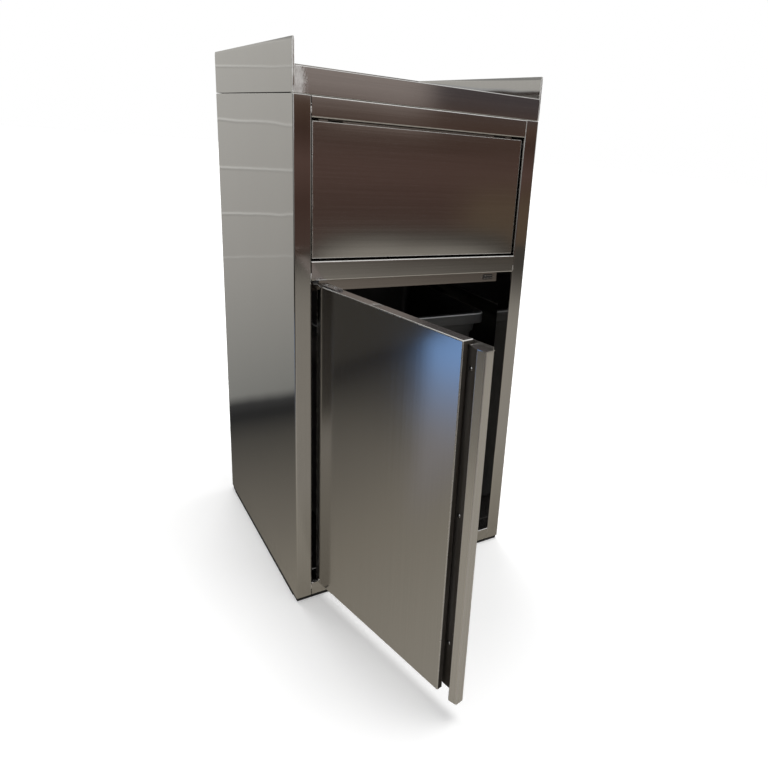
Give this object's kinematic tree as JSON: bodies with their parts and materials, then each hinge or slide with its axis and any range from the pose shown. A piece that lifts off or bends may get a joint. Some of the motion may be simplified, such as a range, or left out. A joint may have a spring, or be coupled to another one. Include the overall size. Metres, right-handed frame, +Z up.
{
  "type": "waste bin cabinet",
  "caption": "Free-standing stainless steel waste cabinet with a tray top, an inward push flap, a door with a full-length pull, and a plastic bin inside.",
  "frame": {"origin": "on the floor, at the centre of the front base strip's underside", "axes": "+X to the cabinet's right seen from the front, +Y to its back, +Z up"},
  "size_m": [0.6, 1.1158, 1.2753],
  "materials": {
    "brushed_stainless": "fine vertical or lengthwise brushing",
    "steel_hardware": "plain steel",
    "black_rubber": "matt rubber",
    "bin_plastic": "fine grained dark grey plastic",
    "catch_plastic": "black moulded plastic",
    "black_nylon": "black nylon"
  },
  "bodies": {
    "carcass": {"left_side_panel": "brushed_stainless", "right_side_panel": "brushed_stainless", "back_panel": "brushed_stainless", "back_panel_rivet_1": "steel_hardware", "back_panel_rivet_2": "steel_hardware", "back_panel_rivet_3": "steel_hardware", "back_panel_rivet_4": "steel_hardware", "back_panel_rivet_5": "steel_hardware", "back_panel_rivet_6": "steel_hardware", "back_panel_rivet_7": "steel_hardware", "back_panel_rivet_8": "steel_hardware", "back_panel_rivet_9": "steel_hardware", "back_panel_rivet_10": "steel_hardware", "top_rail": "brushed_stainless", "mid_rail": "brushed_stainless", "bottom_rail": "brushed_stainless", "base_panel": "brushed_stainless", "front_base_strip": "black_rubber", "rear_base_strip": "black_rubber", "left_base_strip": "black_rubber", "right_base_strip": "black_rubber", "worktop": "brushed_stainless", "worktop_front_stiffener": "steel_hardware", "worktop_rear_stiffener": "steel_hardware", "flap_left_bush": "black_nylon", "flap_right_bush": "black_nylon", "flap_stop_strip": "brushed_stainless", "left_flap_buffer": "black_rubber", "right_flap_buffer": "black_rubber", "top_pivot_bush": "black_nylon", "bottom_pivot_washer": "black_nylon", "door_head_stop": "brushed_stainless", "door_hinge_side_stop": "brushed_stainless", "catch_body": "catch_plastic", "catch_lower_pole": "steel_hardware", "catch_upper_pole": "steel_hardware", "catch_screw_1": "steel_hardware", "catch_screw_2": "steel_hardware", "waste_bin": "bin_plastic"},
    "door": {"door_outer_skin": "brushed_stainless", "door_inner_skin": "brushed_stainless", "handle_channel": "brushed_stainless", "handle_top_cap": "brushed_stainless", "door_edge_screw_1": "steel_hardware", "door_edge_screw_2": "steel_hardware", "door_edge_screw_3": "steel_hardware", "door_top_pivot": "steel_hardware", "door_bottom_pivot": "steel_hardware", "top_pivot_screw_1": "steel_hardware", "top_pivot_screw_2": "steel_hardware", "strike_plate": "steel_hardware"},
    "flap": {"flap_panel": "brushed_stainless", "flap_inner_skin": "brushed_stainless", "flap_left_pivot_pin": "steel_hardware", "flap_right_pivot_pin": "steel_hardware"}
  },
  "joints": [
    {"name": "door_hinge", "type": "hinge", "parent": "carcass", "child": "door", "pos_m": [-0.2525, -0.013, 0.42], "axis": [0, 0, -1], "range_deg": [-78.3, 51.7]},
    {"name": "flap_hinge", "type": "hinge", "parent": "carcass", "child": "flap", "pos_m": [0, -0.0055, 1.117], "axis": [1, 0, 0], "range_deg": [0, 75]}
  ]
}
